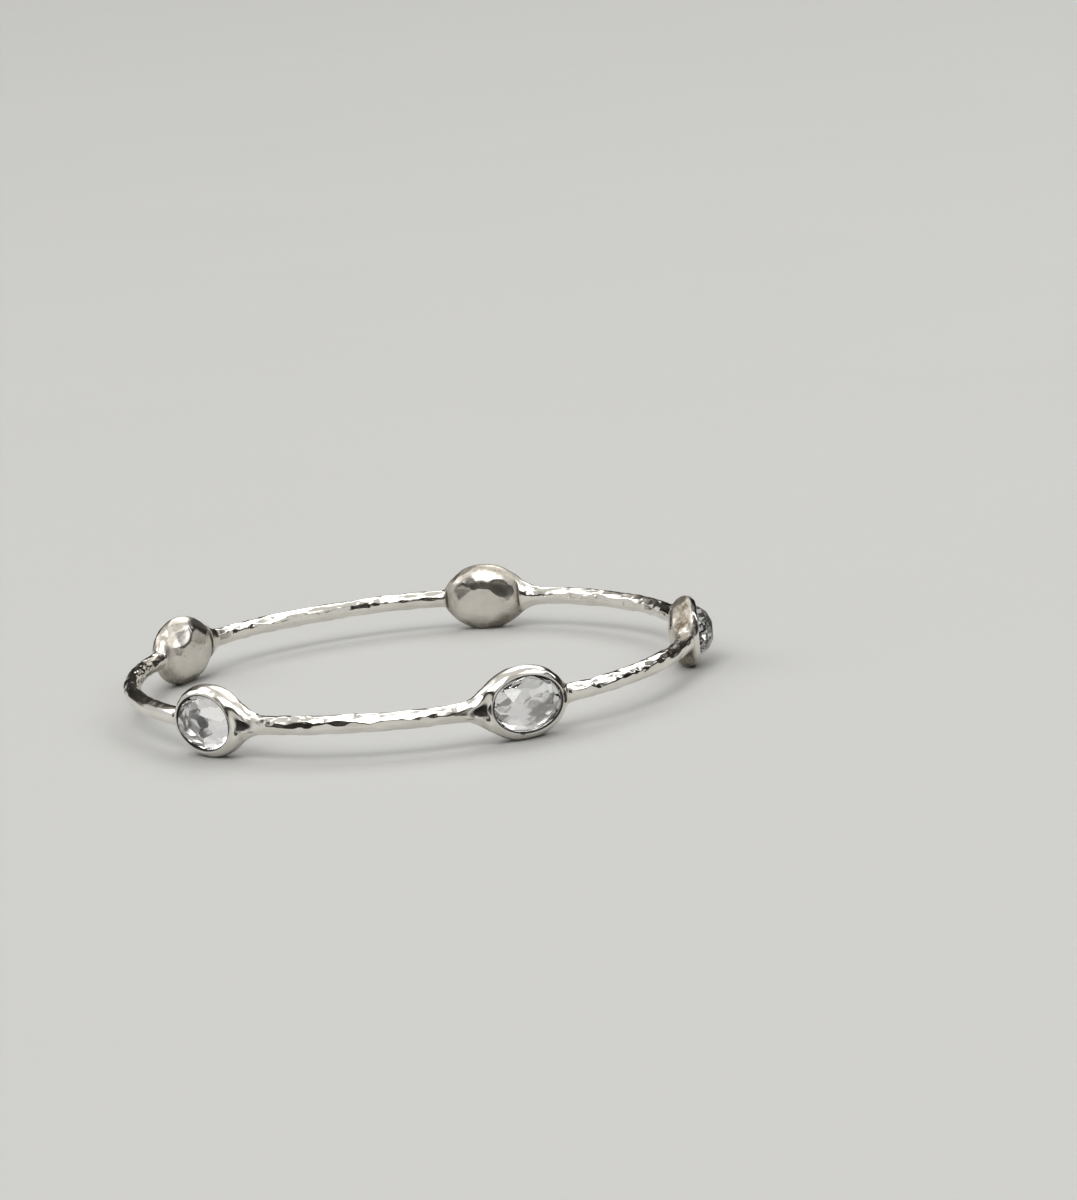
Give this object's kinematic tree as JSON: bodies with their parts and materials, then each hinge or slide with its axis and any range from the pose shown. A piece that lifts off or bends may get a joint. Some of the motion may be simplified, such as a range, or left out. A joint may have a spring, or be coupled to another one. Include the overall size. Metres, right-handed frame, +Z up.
{
  "type": "bangle",
  "caption": "Closed hammered silver wire bangle that widens into oval bezel cups, each holding a faceted clear oval stone; lies flat on its side.",
  "frame": {"origin": "under the middle of the whole bangle, on the surface that it lies on", "axes": "+Z up, through the wrist opening; -Y the front, with the front left and front right stones on either side of it; +X to the right"},
  "size_m": [0.0666, 0.0654, 0.0078],
  "materials": {
    "sterling_silver": "hammered and polished sterling silver, with grey pitted cast sides on the cups",
    "rock_crystal": "cut and polished clear rock crystal"
  },
  "bodies": {
    "root": {"band": "sterling_silver", "stone_front_left": "rock_crystal", "stone_front_right": "rock_crystal", "stone_right": "rock_crystal", "stone_back_right": "rock_crystal", "stone_back_left": "rock_crystal"}
  },
  "joints": []
}
